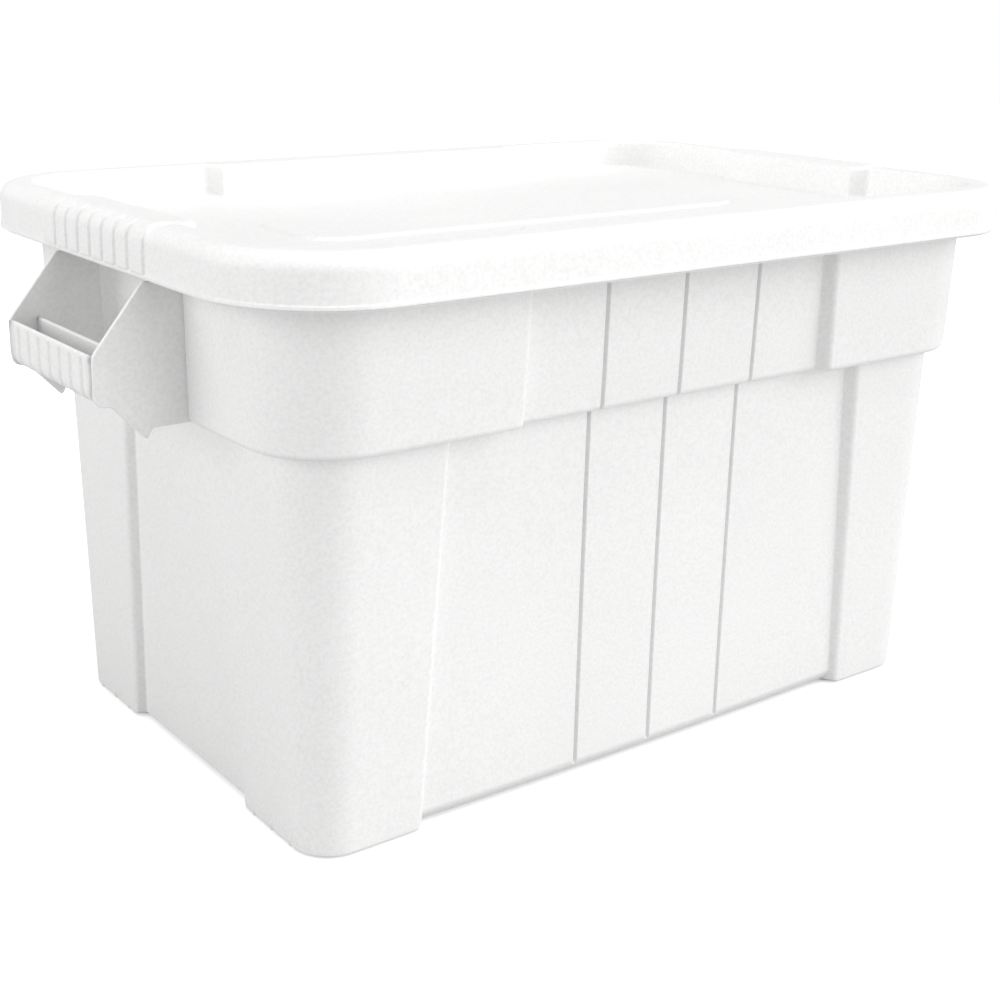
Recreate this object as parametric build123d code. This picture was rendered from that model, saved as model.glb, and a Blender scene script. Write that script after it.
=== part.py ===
"""Lidded stacking tote, heavy-duty 20-gallon class, in millimetres.

Frame: origin at the middle of the underside, +X along the length towards one
handle, +Y across the width, +Z up.  Two mouldings make the real object: the
tote and its lift-off lid.  The tote is written as four touching sub-parts
(body, base ribs and the two end handles), the lid as one.
"""
import os
from math import cos, pi, sin, sqrt

from build123d import *

# ---- overall sizes ---------------------------------------------------------
OVERALL_LENGTH = 708.0        # over the two handle grips
OVERALL_WIDTH = 441.0         # over the lid skirt
OVERALL_HEIGHT = 384.0        # to the top of the lid's grip zones
WALL = 3.2                    # body wall
LID_WALL = 3.0
STEP_SLOPE = 0.65             # width of a wall step's face as a share of its depth
MITRE = sqrt(1.0 + STEP_SLOPE**2) - STEP_SLOPE    # a step corner's move per unit of inset
OVERLAP = 1.0                 # joined solids and cutters run this far past each other

# ---- body: heights ---------------------------------------------------------
FLOOR_UNDERSIDE = 5.0
FLOOR_TOP = FLOOR_UNDERSIDE + WALL
FOOT_RELIEF = 1.2             # underside of the corner feet, between their ribs
MID_LIFT = 2.7                # underside of the walls between the corner feet
BAND_BOTTOM = 260.5           # where the thick upper band starts
RIM_BOTTOM = 351.5            # where the wall turns out under the lid skirt
RIM_TOP = 379.0
LIP_HEIGHT = 3.5

# ---- body: plan sizes, half lengths of the outer outline -------------------
BASE_A, BASE_B, BASE_R = 273.0, 171.5, 27.0
LOWER_A, LOWER_B, LOWER_R = 280.5, 179.0, 38.0
BAND_LOW_A, BAND_LOW_B = 295.0, 191.5
BAND_TOP_A, BAND_TOP_B = 296.2, 194.0
BAND_R = 54.0
RIM_OUT = 12.5                # rim wall stands this far outside the band
LIP_OUT = 3.0                 # and its lip this far outside the rim wall

# ---- body: recesses between the raised corner pads -------------------------
LONG_RECESS = 8.7             # how deep the middle of a long wall is set back, in the band
LOWER_RECESS = 8.5            # the same at the top of the lower body
BASE_RECESS = 4.8             # and at the base
END_RECESS = 6.5              # the same on the end walls of the lower body
POCKET_RECESS = 13.0          # and behind the handles, in the band
BASE_PAD_X, BASE_PAD_Y = 195.0, 82.0      # inner edges of the corner pads
LOWER_PAD_X, LOWER_PAD_Y = 181.0, 62.0
BAND_LOW_PAD_X, BAND_TOP_PAD_X = 135.5, 132.5
EDGE_ROUND = 3.0              # rounding under the feet
FLOOR_ROUND = 7.0             # rounding inside, around the floor
BEVEL_DEEP, BEVEL_HIGH = 4.0, 8.0         # bevel under the middle of the long walls
BAND_ROUND = 2.6              # rounding under the band

# ---- body: the three grooves of each long wall -----------------------------
GROOVE_X = (-66.0, 0.0, 66.0)
GROOVE_WIDTH = 4.5
GROOVE_DEPTH = 3.0
GROOVE_BOTTOM = 8.0
GROOVE_TOP = RIM_BOTTOM - 1.0
GROOVE_CLEAR = 2.0            # how far a groove's cutter stands out of the wall

# ---- ribs under the feet and the floor -------------------------------------
FOOT_RIB_Y = (94.0, 118.0, 142.0)
FOOT_RIB_WIDTH = 4.0
RIB_THICK = 3.0
RIB_DROP = FLOOR_UNDERSIDE - MID_LIFT
RIBS_ALONG = 4
RIBS_ACROSS = 7
UNDER_LONG = (186.0, 154.0)   # half sizes of the cross-shaped hollow under the floor
UNDER_SHORT = (254.0, 74.0)

# ---- handles ---------------------------------------------------------------
HANDLE_HALF_WIDTH = 66.0
HANDLE_WALL = 3.0
GRIP_OUT = OVERALL_LENGTH / 2.0
GRIP_TOP = 308.0
GRIP_BOTTOM = 277.0
GRIP_BEND = 10.5              # radius of the trough's bottom, half its depth
GRIP_INNER = GRIP_OUT - 2 * GRIP_BEND
CHEEK_TOP = 349.0
CHEEK_TOP_X = 320.5
TOOTH_X, TOOTH_Z = 321.5, 253.5
TOOTH_WIDTH = 3.5
GRIP_GROOVES = 7
GRIP_PITCH = 16.4
GRIP_GROOVE_WIDTH = 5.0
GRIP_GROOVE_DEPTH = 1.4
GRIP_EDGE = 1.0               # plain edge above the grooves

# ---- lid -------------------------------------------------------------------
LID_A, LID_B, LID_R = 322.8, OVERALL_WIDTH / 2.0, 80.0
SKIRT_BOTTOM = 350.5
GRIP_RISE = 1.5               # lid grip zone stands this far above the ridge
RIDGE_TOP = OVERALL_HEIGHT - GRIP_RISE
LID_ROUND = 10.0
LID_ROUND_STEPS, SMALL_ROUND_STEPS = 4, 3
SKIRT_DRAFT = 0.8
RECESS_A, RECESS_B, RECESS_R = 298.0, 195.5, 55.0
RECESS_STEP = 12.0
RECESS_PAD_X, RECESS_PAD_Y = 144.0, 76.0
RECESS_FLOOR = 358.3
RECESS_ROUND = 3.0
RECESS_DRAFT = 1.5
RECESS_WALL = 2.0             # wall around the recess, under the ridge
RECESS_ABOVE = 5.0            # its cutter's height above the ridge
PANEL_A, PANEL_B, PANEL_R = 190.0, 46.0, 26.0
PANEL_RISE = 2.0
ZONE_HALF_WIDTH = 74.0
ZONE_PROUD = 2.0
ZONE_REACH = 18.0             # how far the grip zone reaches over the ridge
ZONE_GROOVES = 7
ZONE_PITCH = 18.0
ZONE_GROOVE_WIDTH = 5.5
BEAD_PROUD = 1.4
BEAD_LOW, BEAD_HIGH = 0.5, 3.5            # heights of the bead above the skirt's edge

FAR = 400.0                   # beyond any wall, for cutting tools


# ---- outlines --------------------------------------------------------------
def joined(points, radii):
    """Closed wire through points; radii maps an edge's index to its corner centre."""
    edges = []
    for i, start in enumerate(points):
        end = points[(i + 1) % len(points)]
        if i in radii:
            centre, radius = radii[i]
            way = (Vector(*start) + Vector(*end)) * 0.5 - Vector(*centre)
            edges.append(ThreePointArc(start, Vector(*centre) + way.normalized() * radius, end))
        else:
            edges.append(Line(start, end))
    return Wire(edges)


def stepped_outline(z, a, b, r, pad_x, pad_y, deep_x, deep_y):
    """Rounded rectangle whose four middles are set back between corner pads.

    deep_x is the set-back of the end walls (at +-a), deep_y that of the long
    walls.
    """
    quarter = [
        (a - deep_x, pad_y - STEP_SLOPE * deep_x),
        (a, pad_y),
        (a, b - r),
        (a - r, b),
        (pad_x, b),
        (pad_x - STEP_SLOPE * deep_y, b - deep_y),
    ]
    points, radii = [], {}
    for sx, sy in ((1, 1), (-1, 1), (-1, -1), (1, -1)):
        radii[len(points) + 2] = ((sx * (a - r), sy * (b - r), z), r)
        walk = quarter if sx == sy else quarter[::-1]
        points += [(sx * x, sy * y, z) for x, y in walk]
    return joined(points, radii)


def plain_outline(z, a, b, r):
    """Rounded rectangle."""
    quarter = [(a, b - r), (a - r, b)]
    points, radii = [], {}
    for sx, sy in ((1, 1), (-1, 1), (-1, -1), (1, -1)):
        radii[len(points)] = ((sx * (a - r), sy * (b - r), z), r)
        walk = quarter if sx == sy else quarter[::-1]
        points += [(sx * x, sy * y, z) for x, y in walk]
    return joined(points, radii)


def stack(wires):
    """Solid through outlines, straight from each to the next."""
    return Solid.make_loft(wires, ruled=True)


def mix(low, high, share):
    return low + (high - low) * share



def lower_outline(z, inset=0.0):
    share = z / BAND_BOTTOM
    return stepped_outline(
        z,
        mix(BASE_A, LOWER_A, share) - inset,
        mix(BASE_B, LOWER_B, share) - inset,
        mix(BASE_R, LOWER_R, share) - inset,
        mix(BASE_PAD_X, LOWER_PAD_X, share) + MITRE * inset,
        mix(BASE_PAD_Y, LOWER_PAD_Y, share) + MITRE * inset,
        END_RECESS,
        mix(BASE_RECESS, LOWER_RECESS, share),
    )


def band_outline(z, inset=0.0):
    share = (z - BAND_BOTTOM) / (RIM_BOTTOM - BAND_BOTTOM)
    return stepped_outline(
        z,
        mix(BAND_LOW_A, BAND_TOP_A, share) - inset,
        mix(BAND_LOW_B, BAND_TOP_B, share) - inset,
        BAND_R - inset,
        mix(BAND_LOW_PAD_X, BAND_TOP_PAD_X, share) + MITRE * inset,
        HANDLE_HALF_WIDTH + MITRE * inset,
        POCKET_RECESS,
        LONG_RECESS,
    )


def rim_outline(z, outset):
    return stepped_outline(
        z,
        BAND_TOP_A + outset,
        BAND_TOP_B + outset,
        BAND_R + outset,
        BAND_TOP_PAD_X - MITRE * outset,
        HANDLE_HALF_WIDTH - MITRE * outset,
        POCKET_RECESS,
        LONG_RECESS,
    )


# ---- tote body -------------------------------------------------------------
def rounded_start(z, round_radius, steps=3):
    """Heights and insets of a quarter round that starts at height z."""
    for i in range(steps + 1):
        turn = pi / 2 * i / steps
        yield z + round_radius * (1 - cos(turn)), round_radius * (1 - sin(turn))


def lower_walls():
    wires = [lower_outline(z, inset) for z, inset in rounded_start(0.0, EDGE_ROUND)]
    return stack(wires + [lower_outline(BAND_BOTTOM)])


def band_walls():
    wires = [band_outline(z, inset) for z, inset in rounded_start(BAND_BOTTOM, BAND_ROUND, 2)]
    return stack(wires + [band_outline(RIM_BOTTOM)])


def rim_walls():
    wall = stack([rim_outline(RIM_BOTTOM, RIM_OUT), rim_outline(RIM_TOP, RIM_OUT)])
    lip = stack([rim_outline(z, RIM_OUT + LIP_OUT) for z in (RIM_TOP - LIP_HEIGHT, RIM_TOP)])
    return wall + lip


def cavity():
    """The space inside the walls, floor to mouth."""
    floor_round = rounded_start(FLOOR_TOP, FLOOR_ROUND)
    lower = [lower_outline(z, WALL + inset) for z, inset in floor_round]
    low = stack(lower + [lower_outline(BAND_BOTTOM + WALL, WALL)])
    ledge = BAND_BOTTOM + WALL
    band = stack([band_outline(ledge, WALL), band_outline(RIM_BOTTOM + WALL, WALL)])
    rim = stack([rim_outline(z, RIM_OUT - WALL) for z in (RIM_BOTTOM + WALL, RIM_TOP + OVERLAP)])
    return low + band + rim


def wall_strip(low, high, depth_out, depth_in, width):
    """Bar between two depths below a long wall's face, from low to high, each (y, z)."""
    (low_y, low_z), (high_y, high_z) = low, high
    corners = [
        (low_y - depth_out, low_z),
        (high_y - depth_out, high_z),
        (high_y - depth_in, high_z),
        (low_y - depth_in, low_z),
    ]
    side_view = make_face(Plane.YZ * Polyline(*corners, close=True))
    return extrude(side_view, amount=width / 2, both=True)


def groove_bars(depth_out, depth_in, width, longer):
    """Bars along the grooves of both long walls, in the lower body and in the band."""
    bottom = GROOVE_BOTTOM - longer
    foot = mix(BASE_B - BASE_RECESS, LOWER_B - LOWER_RECESS, bottom / BAND_BOTTOM)
    runs = [
        ((foot, bottom), (LOWER_B - LOWER_RECESS, BAND_BOTTOM + longer)),
        (
            (BAND_LOW_B - LONG_RECESS, BAND_BOTTOM - OVERLAP),
            (BAND_TOP_B - LONG_RECESS, GROOVE_TOP + longer),
        ),
    ]
    bars = []
    for low, high in runs:
        bar = wall_strip(low, high, depth_out, depth_in, width)
        for x in GROOVE_X:
            bars += [Pos(x, 0, 0) * bar, Pos(x, 0, 0) * bar.mirror(Plane.XZ)]
    return bars


def underside_tools():
    """Cutters for the underside: hollow floor, lifted middles, ribbed feet, bevels."""
    height = FLOOR_UNDERSIDE + OVERLAP
    tools = []
    for half_x, half_y in (UNDER_LONG, UNDER_SHORT):
        box = Box(2 * half_x, 2 * half_y, height)
        tools.append(Pos(0, 0, FLOOR_UNDERSIDE - height / 2) * box)
    for half_x, half_y in ((UNDER_LONG[0], FAR), (FAR, UNDER_SHORT[1])):
        tools.append(Box(2 * half_x, 2 * half_y, 2 * MID_LIFT))
    relief = Box(2 * FAR, 2 * FAR, 2 * FOOT_RELIEF)
    for y in FOOT_RIB_Y:
        for side in (-1, 1):
            relief -= Pos(0, side * y, 0) * Box(3 * FAR, FOOT_RIB_WIDTH, 2 * FAR)
    tools.append(relief)
    return tools + under_bevels()


def under_bevels():
    """Wedges that bevel the lower edge of the long walls between the feet."""
    wall = BASE_B - BASE_RECESS
    lean = (BASE_B - LOWER_B - BASE_RECESS + LOWER_RECESS) / BAND_BOTTOM
    top = wall - lean * (MID_LIFT + BEVEL_HIGH)
    corners = [
        (wall - BEVEL_DEEP, MID_LIFT - OVERLAP),
        (wall - BEVEL_DEEP, MID_LIFT),
        (top, MID_LIFT + BEVEL_HIGH),
        (FAR, MID_LIFT + BEVEL_HIGH),
        (FAR, MID_LIFT - OVERLAP),
    ]
    side_view = make_face(Plane.YZ * Polyline(*corners, close=True))
    wedge = extrude(side_view, amount=UNDER_LONG[0], both=True)
    return [wedge, wedge.mirror(Plane.XZ)]


def tote_body():
    space = cavity()
    for bar in groove_bars(0.0, GROOVE_DEPTH + WALL, GROOVE_WIDTH + 2 * WALL, WALL):
        space -= bar
    body = lower_walls() + band_walls() + rim_walls()
    body -= space
    for bar in groove_bars(-GROOVE_CLEAR, GROOVE_DEPTH, GROOVE_WIDTH, 0.0):
        body -= bar
    for tool in underside_tools():
        body -= tool
    return body


# ---- base ribs -------------------------------------------------------------
def base_ribs():
    """Crossing ribs that stiffen the floor from below."""
    z = FLOOR_UNDERSIDE - RIB_DROP / 2
    ribs = []
    for i in range(RIBS_ALONG):
        y = mix(-UNDER_SHORT[1], UNDER_SHORT[1], (i + 0.5) / RIBS_ALONG)
        ribs.append(Pos(0, y, z) * Box(2 * UNDER_SHORT[0], RIB_THICK, RIB_DROP))
    for i in range(RIBS_ACROSS):
        x = mix(-UNDER_LONG[0], UNDER_LONG[0], (i + 0.5) / RIBS_ACROSS)
        ribs.append(Pos(x, 0, z) * Box(RIB_THICK, 2 * UNDER_LONG[1], RIB_DROP))
    grid = ribs[0]
    for rib in ribs[1:]:
        grid += rib
    return grid


# ---- handles ---------------------------------------------------------------
def cheek_face():
    """Side view of a handle's cheek plate, in X and Z."""
    slope = (CHEEK_TOP - GRIP_TOP) / (CHEEK_TOP_X - GRIP_OUT)
    bend = GRIP_BEND
    wall = BAND_LOW_A - POCKET_RECESS - WALL
    outline = [
        Line((wall, CHEEK_TOP), (CHEEK_TOP_X, CHEEK_TOP)),
        Line((CHEEK_TOP_X, CHEEK_TOP), (GRIP_OUT, CHEEK_TOP + slope * (GRIP_OUT - CHEEK_TOP_X))),
        Line((GRIP_OUT, GRIP_TOP), (GRIP_OUT, GRIP_BOTTOM + bend)),
        JernArc((GRIP_OUT, GRIP_BOTTOM + bend), (0, -1), bend, -90),
        Line((GRIP_OUT - bend, GRIP_BOTTOM), (TOOTH_X, TOOTH_Z)),
        Line((TOOTH_X, TOOTH_Z), (TOOTH_X - TOOTH_WIDTH, BAND_BOTTOM)),
        Line((TOOTH_X - TOOTH_WIDTH, BAND_BOTTOM), (wall, BAND_BOTTOM)),
        Line((wall, BAND_BOTTOM), (wall, CHEEK_TOP)),
    ]
    return make_face(Plane.XZ * Wire(outline))


def trough_face():
    """Side view of the grip: an upright channel with a round bottom, in X and Z."""
    middle = (GRIP_OUT + GRIP_INNER) / 2
    bend_z = GRIP_BOTTOM + GRIP_BEND
    height = GRIP_TOP - bend_z

    def channel(half_width, up):
        upright = Pos(0, up / 2) * Rectangle(2 * half_width, up)
        return upright + Circle(half_width)

    profile = channel(GRIP_BEND, height) - channel(GRIP_BEND - HANDLE_WALL, height + OVERLAP)
    return Plane.XZ * (Pos(middle, bend_z) * profile)


def handle(body_form):
    """The handle at the +X end, cut back to the body's outer face."""
    cheek = extrude(cheek_face(), amount=HANDLE_WALL / 2, both=True)
    trough = extrude(trough_face(), amount=HANDLE_HALF_WIDTH - HANDLE_WALL / 2, both=True)
    grip = trough
    for side in (-1, 1):
        grip += Pos(0, side * (HANDLE_HALF_WIDTH - HANDLE_WALL / 2), 0) * cheek
    height = GRIP_TOP - GRIP_BOTTOM - GRIP_BEND
    for i in range(GRIP_GROOVES):
        y = (i - (GRIP_GROOVES - 1) / 2) * GRIP_PITCH
        notch = Box(2 * GRIP_GROOVE_DEPTH, GRIP_GROOVE_WIDTH, height)
        grip -= Pos(GRIP_OUT, y, GRIP_TOP - height / 2 - GRIP_EDGE) * notch
    return grip - body_form


# ---- lid -------------------------------------------------------------------
def quarter_turns(steps):
    """Angles of a quarter turn, in equal steps."""
    return [pi / 2 * i / steps for i in range(steps + 1)]


def lid_form(extra_a=0.0, extra_z=0.0):
    """Outer form of the lid: a skirt with a large round along its top edge."""
    wires = [plain_outline(SKIRT_BOTTOM, LID_A + extra_a, LID_B, LID_R)]
    shoulder = RIDGE_TOP + extra_z - LID_ROUND
    for turn in quarter_turns(LID_ROUND_STEPS):
        inset = LID_ROUND * (1 - cos(turn)) + SKIRT_DRAFT
        z = shoulder + LID_ROUND * sin(turn)
        wires.append(plain_outline(z, LID_A + extra_a - inset, LID_B - inset, LID_R - inset))
    return stack(wires)


def recess_outline(z, outset=0.0):
    return stepped_outline(
        z,
        RECESS_A + outset,
        RECESS_B + outset,
        RECESS_R + outset,
        RECESS_PAD_X - MITRE * outset,
        RECESS_PAD_Y - MITRE * outset,
        RECESS_STEP,
        RECESS_STEP,
    )


def recess_space():
    """The shallow well in the lid's top."""
    turns = quarter_turns(SMALL_ROUND_STEPS)
    foot = [
        (RECESS_FLOOR + RECESS_ROUND * (1 - cos(t)), -RECESS_DRAFT - RECESS_ROUND * (1 - sin(t)))
        for t in turns
    ]
    crest = [
        (RIDGE_TOP - RECESS_ROUND + RECESS_ROUND * sin(t), RECESS_ROUND * (1 - cos(t)))
        for t in turns
    ]
    over = [(RIDGE_TOP + RECESS_ABOVE, RECESS_ROUND)]
    return stack([recess_outline(z, outset) for z, outset in foot + crest + over])


def under_lid_space():
    """The space under the lid: the channel that takes the rim, and under the well."""
    low = SKIRT_BOTTOM - OVERLAP
    top = RIDGE_TOP - LID_WALL
    inside = LID_WALL
    rounded = LID_ROUND - LID_WALL
    wires = [plain_outline(low, LID_A - inside, LID_B - inside, LID_R - inside)]
    for turn in quarter_turns(SMALL_ROUND_STEPS):
        inset = inside + rounded * (1 - cos(turn)) + SKIRT_DRAFT
        z = top - rounded + rounded * sin(turn)
        wires.append(plain_outline(z, LID_A - inset, LID_B - inset, LID_R - inset))
    well_floor = RECESS_FLOOR - LID_WALL
    well = stack([recess_outline(z, RECESS_WALL) for z in (well_floor, RIDGE_TOP)])
    return stack(wires) - well


def grip_zone(side):
    """Raised and grooved pad at one end of the lid, for the fingers."""
    zone = Box(2 * ZONE_REACH, 2 * ZONE_HALF_WIDTH, 2 * OVERALL_HEIGHT)
    for i in range(ZONE_GROOVES):
        y = (i - (ZONE_GROOVES - 1) / 2) * ZONE_PITCH
        zone -= Pos(0, y, 0) * Box(3 * ZONE_REACH, ZONE_GROOVE_WIDTH, 3 * OVERALL_HEIGHT)
    return (Pos(side * (LID_A + ZONE_PROUD), 0, 0) * zone) & lid_form(ZONE_PROUD, GRIP_RISE)


def snap_bead():
    """Low bead inside the skirt's lower edge."""
    ring = plain_outline
    low, high = SKIRT_BOTTOM + BEAD_LOW, SKIRT_BOTTOM + BEAD_HIGH
    inner = LID_WALL + BEAD_PROUD
    root = LID_WALL / 2
    outside = stack([ring(z, LID_A - root, LID_B - root, LID_R - root) for z in (low, high)])
    heights = (low - OVERLAP, high + OVERLAP)
    opening = [ring(z, LID_A - inner, LID_B - inner, LID_R - inner) for z in heights]
    return outside - stack(opening)


def lid_panel():
    lid = lid_form()
    for side in (-1, 1):
        lid += grip_zone(side)
    lid -= recess_space()
    lid -= under_lid_space()
    lid += snap_bead()
    panel = [
        plain_outline(RECESS_FLOOR - OVERLAP, PANEL_A, PANEL_B, PANEL_R),
        plain_outline(
            RECESS_FLOOR + PANEL_RISE,
            PANEL_A - PANEL_RISE,
            PANEL_B - PANEL_RISE,
            PANEL_R - PANEL_RISE,
        ),
    ]
    return lid + stack(panel)


# ---- everything ------------------------------------------------------------
def main():
    os.makedirs("parts", exist_ok=True)
    body = tote_body()
    body_form = lower_walls() + band_walls()
    right = handle(body_form)
    nodes = {
        "tote_body": body,
        "base_ribs": base_ribs(),
        "handle_right": right,
        "handle_left": right.mirror(Plane.YZ),
        "lid_panel": lid_panel(),
    }
    for name, shape in nodes.items():
        export_step(shape, f"parts/{name}.step")
        box = shape.bounding_box()
        print(name, box.min, box.max, round(shape.volume / 1000.0, 1), "cm3")


main()
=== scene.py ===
"""Looks of the lidded stacking tote: its white polyethylene mouldings in a bright studio.

Sizes are in metres.  Each moulding is one closed mesh, made of rings that follow
the wall up or down; every ring has the same columns, so corners, steps between
the raised pads and grooves keep their rounded edges from ring to ring.
"""

from collections import namedtuple
from math import cos, pi, radians, sin, sqrt

import bmesh
import bpy
import numpy as np
from mathutils import Matrix, Vector


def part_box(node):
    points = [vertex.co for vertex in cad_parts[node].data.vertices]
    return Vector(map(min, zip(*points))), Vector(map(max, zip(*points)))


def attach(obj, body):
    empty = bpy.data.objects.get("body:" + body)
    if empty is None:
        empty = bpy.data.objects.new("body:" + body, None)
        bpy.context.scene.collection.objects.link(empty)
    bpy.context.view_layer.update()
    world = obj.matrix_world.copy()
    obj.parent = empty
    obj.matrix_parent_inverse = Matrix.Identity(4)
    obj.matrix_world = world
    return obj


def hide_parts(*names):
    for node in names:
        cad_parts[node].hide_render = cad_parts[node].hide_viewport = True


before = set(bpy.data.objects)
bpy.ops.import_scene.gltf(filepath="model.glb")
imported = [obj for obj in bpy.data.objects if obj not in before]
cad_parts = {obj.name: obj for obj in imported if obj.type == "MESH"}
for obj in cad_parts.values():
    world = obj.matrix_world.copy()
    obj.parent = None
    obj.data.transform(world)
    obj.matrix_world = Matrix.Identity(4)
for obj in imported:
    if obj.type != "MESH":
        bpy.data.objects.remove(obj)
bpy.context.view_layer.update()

MM = 0.001
HAIR = 1e-6                               # keeps a corner's two sides apart
BODY_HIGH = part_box("tote_body")[1]
LID_LOW, LID_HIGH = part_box("lid_panel")
GRIP_LOW, GRIP_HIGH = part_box("handle_right")

# ---- body, from the frame --------------------------------------------------
WALL = 3.2 * MM
RIM_TOP = BODY_HIGH.z
RIM_BOTTOM = RIM_TOP - 27.5 * MM
LIP_OUT, LIP_HEIGHT = 3.0 * MM, 3.5 * MM
RIM_OUT = 12.5 * MM                       # rim wall outside the band
BAND_TOP_A = BODY_HIGH.x - RIM_OUT - LIP_OUT
BAND_TOP_B = BODY_HIGH.y - RIM_OUT - LIP_OUT
BAND_LOW_A, BAND_LOW_B = BAND_TOP_A - 1.2 * MM, BAND_TOP_B - 2.5 * MM
BAND_R = 54.0 * MM
BAND_BOTTOM = RIM_TOP - 118.5 * MM
LOWER_A, LOWER_B, LOWER_R = BAND_LOW_A - 14.5 * MM, BAND_LOW_B - 12.5 * MM, 38.0 * MM
BASE_A, BASE_B, BASE_R = LOWER_A - 7.5 * MM, LOWER_B - 7.5 * MM, 27.0 * MM
FLOOR_UNDERSIDE = 5.0 * MM
FLOOR_TOP = FLOOR_UNDERSIDE + WALL
FOOT_RELIEF, MID_LIFT = 1.2 * MM, 2.7 * MM
FOOT_ROUND, MID_ROUND, FLOOR_ROUND = 2.0 * MM, 1.5 * MM, 7.0 * MM
PAD_LAG = 0.5 * MM                        # the pads' rings sit this much higher in the bevel
RIM_EDGE, LIP_LEAD = 1.0 * MM, 0.6 * MM
SHELF_DROP = 4.0 * MM                     # first ring of the band's inside, below the shelf

# ---- steps between the raised corner pads ----------------------------------
STEP_SLOPE = 0.65
MITRE = sqrt(1.0 + STEP_SLOPE**2) - STEP_SLOPE
BAND_RECESS, LOWER_RECESS, BASE_RECESS = 8.7 * MM, 8.5 * MM, 4.8 * MM
END_RECESS, POCKET_RECESS = 6.5 * MM, 13.0 * MM
BASE_PAD_X, BASE_PAD_Y = 195.0 * MM, 82.0 * MM
LOWER_PAD_X, LOWER_PAD_Y = 181.0 * MM, 62.0 * MM
BAND_LOW_PAD_X, BAND_TOP_PAD_X = 135.5 * MM, 132.5 * MM
BAND_PAD_Y = GRIP_HIGH.y
OUTER_CUT, INNER_CUT = 3.2 * MM, 1.0 * MM  # how far a step's rounds reach along its sides
BASE_BOW = 2.6 * MM                       # the long wall's middle bows out at the base
BOW_FADE, BEVEL_FADE, GROOVE_RUN_IN = 1.5, 1.7, 0.7      # powers of the height's share
BAND_ROUND = 4.5 * MM
ROOT_ROUND = 2.0 * MM
BEVEL_DEEP, BEVEL_HIGH = 4.0 * MM, 8.0 * MM
CROSS_LONG, CROSS_SHORT = (186 * MM, 154 * MM), (254 * MM, 74 * MM)

# ---- grooves of the long walls ---------------------------------------------
GROOVE_PITCH = 66.0 * MM
GROOVE_HALF, GROOVE_DEPTH = 1.7 * MM, 3.9 * MM
GROOVE_COLUMNS = (0.0, 0.2, 0.4, 0.6, 0.8, 0.95, 1.1, 1.3, 2.2)   # in groove half widths
GROOVE_FLAT = 0.1                         # flat bottom of a groove, in half widths

# ---- lid, from the frame ---------------------------------------------------
ZONE_PROUD = 2.0 * MM
LID_A, LID_B, LID_R = LID_HIGH.x - ZONE_PROUD, LID_HIGH.y, 80.0 * MM
SKIRT_BOTTOM = LID_LOW.z
RIDGE_TOP = LID_HIGH.z - 1.5 * MM
LID_WALL, LID_ROUND, SKIRT_DRAFT = 3.0 * MM, 10.0 * MM, 0.8 * MM
WELL_A, WELL_B, WELL_R = 298.0 * MM, 195.5 * MM, 55.0 * MM
WELL_STEP = 12.0 * MM
WELL_WALL, ROOF_DROP = 2.0 * MM, 2.0 * MM  # wall around the well, under the ridge
WELL_PAD_X, WELL_PAD_Y = 144.0 * MM, 76.0 * MM
WELL_FLOOR, WELL_ROUND, WELL_DRAFT = 358.3 * MM, 3.0 * MM, 1.5 * MM
PANEL_A, PANEL_B, PANEL_R, PANEL_RISE = 190.0 * MM, 46.0 * MM, 26.0 * MM, 2.0 * MM
ZONE_HALF, ZONE_EDGE = 74.0 * MM, 1.6 * MM
ZONE_CUT = 2.8 * MM                       # depth of the finger grooves
SKIRT_BEAD, BEAD_HEIGHT = 0.6 * MM, 4.2 * MM     # lip along the skirt's lower edge
REBATE = ((2.7, 0.0), (2.4, 0.3), (2.4, 1.3), (0.5, 1.5), (0.1, 1.7), (0.0, 2.1))   # under it, mm
BEAD_TOP = ((0.0, 0.7, 0.0), (0.3, 0.2, 0.3), (1.0, 0.0, 0.8))  # inset share, mm down, zone share
SNAP_BEAD = 1.4 * MM
SNAP_PROFILE = ((3.9, 0.0), (3.3, 1.0), (0.9, 1.0), (0.2, 0.8), (0.0, 0.5))   # mm up, share
ZONE_PITCH, ZONE_GROOVE_HALF = 18.0 * MM, 2.4 * MM
ZONE_COLUMNS = (0.0, 0.2, 0.4, 0.6, 0.8, 0.95, 1.1, 1.4, 2.4, 3.2)   # in groove half widths
ZONE_LIFT = 1.5 * MM                      # rise of a finger zone over the ridge
ZONE_RISES = ((0.15, 1.4), (0.3, 1.1), (0.5, 0.6), (0.8, 0.1))     # share of the ridge, mm up
GROOVE_ENDS, GROOVE_FADE = 0.97, 0.3      # where the zone's grooves run out over the lid's round
PANEL_EDGE = (                            # mm outside the panel's edge, share of its rise
    (4.0, 0.0),
    (1.6, 0.0),
    (0.8, 0.125),
    (0.0, 0.5),
    (-0.8, 0.875),
    (-1.6, 1.0),
    (-4.0, 1.0),
)

# ---- handles, from the frame -----------------------------------------------
GRIP_OUT, GRIP_HALF = GRIP_HIGH.x, GRIP_HIGH.y
CHEEK_WALL = 3.0 * MM
GRIP_TOP, GRIP_BOTTOM = 308.0 * MM, 277.0 * MM
GRIP_BEND = 10.5 * MM
CHEEK_TOP_X, CHEEK_TOP = 320.5 * MM, GRIP_HIGH.z
TOOTH_X, TOOTH_WIDTH = 321.5 * MM, 3.5 * MM
GRIP_GROOVES, GRIP_PITCH = 7, 16.4 * MM
GRIP_GROOVE_HALF, GRIP_GROOVE_DEPTH = 2.4 * MM, 2.2 * MM
GRIP_BEAD = 3.2 * MM                      # plain edge above the grooves
GRIP_ROUND = 0.8 * MM
GRIP_COLUMNS = (-1.8, -1.3, -1.0, -0.7, -0.35, 0.0, 0.35, 0.7, 1.0, 1.3, 1.8)   # in half widths
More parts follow.
